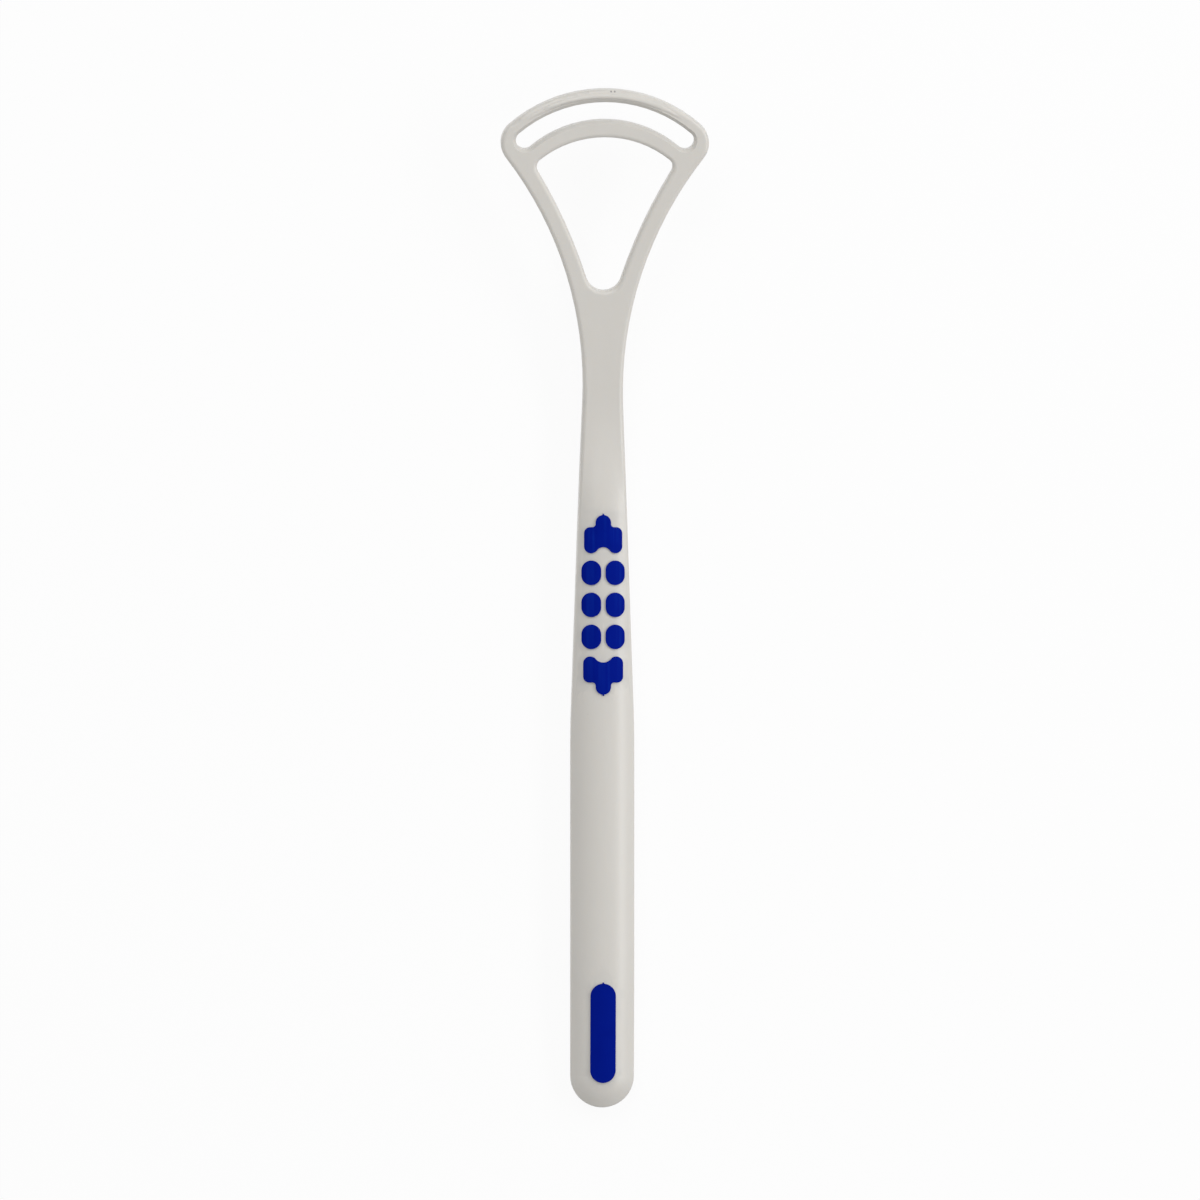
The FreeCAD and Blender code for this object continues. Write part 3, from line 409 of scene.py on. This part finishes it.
softInlays = {
    "mergeDistance": 0.002 * mm,
    "flatAngle": 0.4,  # triangles that meet at less than this become one face
    "rimWidth": 0.2 * mm,
    "rimSegments": 3,
    "rimAngle": 50.0,
    "sharpDegrees": 40.0,
}


def makeSoftInlays():
    v = softInlays
    for nodeName in sorted(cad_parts):
        if nodeName == whiteMoulding["node"]:
            continue
        inlay = copyNode(nodeName, pieceName(nodeName, "inlay"), v["mergeDistance"])
        editAll()
        bpy.ops.mesh.dissolve_limited(angle_limit=math.radians(v["flatAngle"]))
        bpy.ops.object.mode_set(mode="OBJECT")
        applyModifier(inlay, "BEVEL", width=v["rimWidth"], segments=v["rimSegments"], limit_method="ANGLE",
                      angle_limit=math.radians(v["rimAngle"]))
        evenShading(inlay, v["sharpDegrees"])
        finishPiece(inlay, mattBlue, nodeName)


makeSoftInlays()
print("soft inlays dressed")

gateNub = {
    "segments": 16,
    "rings": 10,
    "radius": 0.15 * mm,
    "lengthening": 1.5,
    "height": 0.20 * mm,
    "reach": 0.02 * mm,  # how far the nub's middle stands out of the inlay's end
    "tipShare": 0.45,
    "sharpDegrees": 60.0,
    "tips": (("upper_arrow", 1), ("lower_arrow", -1), ("tail_pad", 1)),  # inlay and the end that was fed
}


def makeGateNubs():
    v = gateNub
    bpy.ops.object.select_all(action="DESELECT")
    bpy.ops.mesh.primitive_uv_sphere_add(segments=v["segments"], ring_count=v["rings"], radius=v["radius"])
    pattern = bpy.context.active_object
    pattern.name = "gateNubPattern"
    editAll()
    bpy.ops.transform.resize(value=(1.0, v["lengthening"], v["height"] / v["radius"]))
    bpy.ops.object.mode_set(mode="OBJECT")
    applyModifier(pattern, "SIMPLE_DEFORM", deform_method="TAPER", deform_axis="Y", factor=-v["tipShare"])
    for nodeName, way in v["tips"]:
        corners = [Vector(corner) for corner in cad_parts[nodeName].bound_box]
        end = max(way * corner.y for corner in corners) * way
        top = max(corner.z for corner in corners)
        nub = pattern.copy()
        nub.data = pattern.data.copy()
        nub.name = nub.data.name = pieceName(nodeName, "nub")
        bpy.context.scene.collection.objects.link(nub)
        pickOnly(nub)
        nub.location = (0.0, end + way * v["reach"], top - v["height"])
        nub.rotation_euler = (0.0, 0.0, 0.0 if way > 0 else math.pi)
        bpy.ops.object.transform_apply(location=True, rotation=True, scale=True)
        evenShading(nub, v["sharpDegrees"])
        finishPiece(nub, mattBlue)
    bpy.data.objects.remove(pattern)


makeGateNubs()
print("gate nubs made")

studio = {
    "cameraDistance": 3.0,
    "viewWidth": 0.198,
    "viewLean": 3.0,  # the camera stands this far to the tool's left
    "target": (-0.38 * mm, -0.25 * mm, 3.0 * mm),
    "sensorWidth": 36.0,
    "clipEnd": 20.0,
    "softboxes": {  # place, size across and along, power
        "keyStrip": ((0.70, 0.18, 0.54), (0.24, 1.1), 3.8),
        "topBox": ((-0.25, 0.62, 0.73), (0.5, 0.8), 2.7),
    },
    "skyColour": (1.0, 1.0, 1.0, 1.0),
    "skyStrength": 0.475,
    "floorSize": 4.0,
    "floorLevel": -0.05 * mm,
    "floorColours": ((0.86, 0.86, 0.86, 1.0), (0.88, 0.88, 0.88, 1.0)),
    "floorMottle": 6.0,
    "floorRoughness": 0.9,
    "floorWhite": 0.92,  # share of plain white that the camera sees, the rest keeps the shadow
}


def makeCamera():
    v = studio
    lean = math.radians(v["viewLean"])
    target = Vector(v["target"])
    back = Vector((-math.sin(lean), 0.0, math.cos(lean)))
    right = Vector((0.0, 1.0, 0.0)).cross(back).normalized()
    up = back.cross(right)
    data = bpy.data.cameras.new("photoCamera")
    camera = bpy.data.objects.new("photoCamera", data)
    bpy.context.scene.collection.objects.link(camera)
    turn = Matrix((right, up, back)).transposed().to_4x4()
    camera.matrix_world = Matrix.Translation(target + back * v["cameraDistance"]) @ turn
    data.sensor_width = v["sensorWidth"]
    data.lens = data.sensor_width * v["cameraDistance"] / v["viewWidth"]
    data.clip_end = v["clipEnd"]
    bpy.context.scene.camera = camera


def makeSoftbox(name, place, size, power):
    data = bpy.data.lights.new(name, "AREA")
    data.shape = "RECTANGLE"
    data.size, data.size_y = size
    data.energy = power
    softbox = bpy.data.objects.new(name, data)
    bpy.context.scene.collection.objects.link(softbox)
    back = Vector(place).normalized()  # a softbox looks at the origin
    side = Vector((0.0, 1.0, 0.0)).cross(back).normalized()
    turn = Matrix((side, back.cross(side), back)).transposed().to_4x4()
    softbox.matrix_world = Matrix.Translation(place) @ turn


def seenDirectly(tree):
    # camera, glossy and transmission rays see the plain white studio
    rays = tree.nodes.new("ShaderNodeLightPath").outputs
    seen = mathNode(tree, "MAXIMUM", rays["Is Camera Ray"], rays["Is Transmission Ray"])
    return mathNode(tree, "MAXIMUM", seen, rays["Is Glossy Ray"])


def makeSky():
    world = bpy.data.worlds.new("studioSky")
    world.use_nodes = True
    bpy.context.scene.world = world
    tree = world.node_tree
    sky = tree.nodes["Background"]
    sky.inputs["Color"].default_value = studio["skyColour"]
    strength = addNode(tree, "ShaderNodeMapRange", {"Value": seenDirectly(tree),
                                                    "To Min": studio["skyStrength"]})
    tree.links.new(strength.outputs[0], sky.inputs["Strength"])


def makeFloor():
    v = studio
    bpy.ops.object.select_all(action="DESELECT")
    bpy.ops.mesh.primitive_plane_add(size=v["floorSize"], location=(0.0, 0.0, v["floorLevel"]))
    floor = bpy.context.active_object
    floor.name = "studioFloor"
    bpy.ops.object.transform_apply(location=True, rotation=True, scale=True)
    material, tree, shader, coords = startMaterial("paleFloor")
    shader.inputs["Roughness"].default_value = v["floorRoughness"]
    mottle = noise(tree, coords, v["floorMottle"])
    tree.links.new(blendColours(tree, mottle, *v["floorColours"]), shader.inputs["Base Color"])
    white = tree.nodes.new("ShaderNodeEmission")
    share = mathNode(tree, "MULTIPLY", seenDirectly(tree), v["floorWhite"])
    blend = tree.nodes.new("ShaderNodeMixShader")
    tree.links.new(share, blend.inputs[0])
    tree.links.new(shader.outputs[0], blend.inputs[1])
    tree.links.new(white.outputs[0], blend.inputs[2])
    tree.links.new(blend.outputs[0], tree.nodes["Material Output"].inputs["Surface"])
    floor.data.materials.append(material)


makeCamera()
for softboxName, softboxValues in studio["softboxes"].items():
    makeSoftbox(softboxName, *softboxValues)
makeSky()
makeFloor()
bpy.context.scene.view_settings.view_transform = "Standard"
print("studio ready")
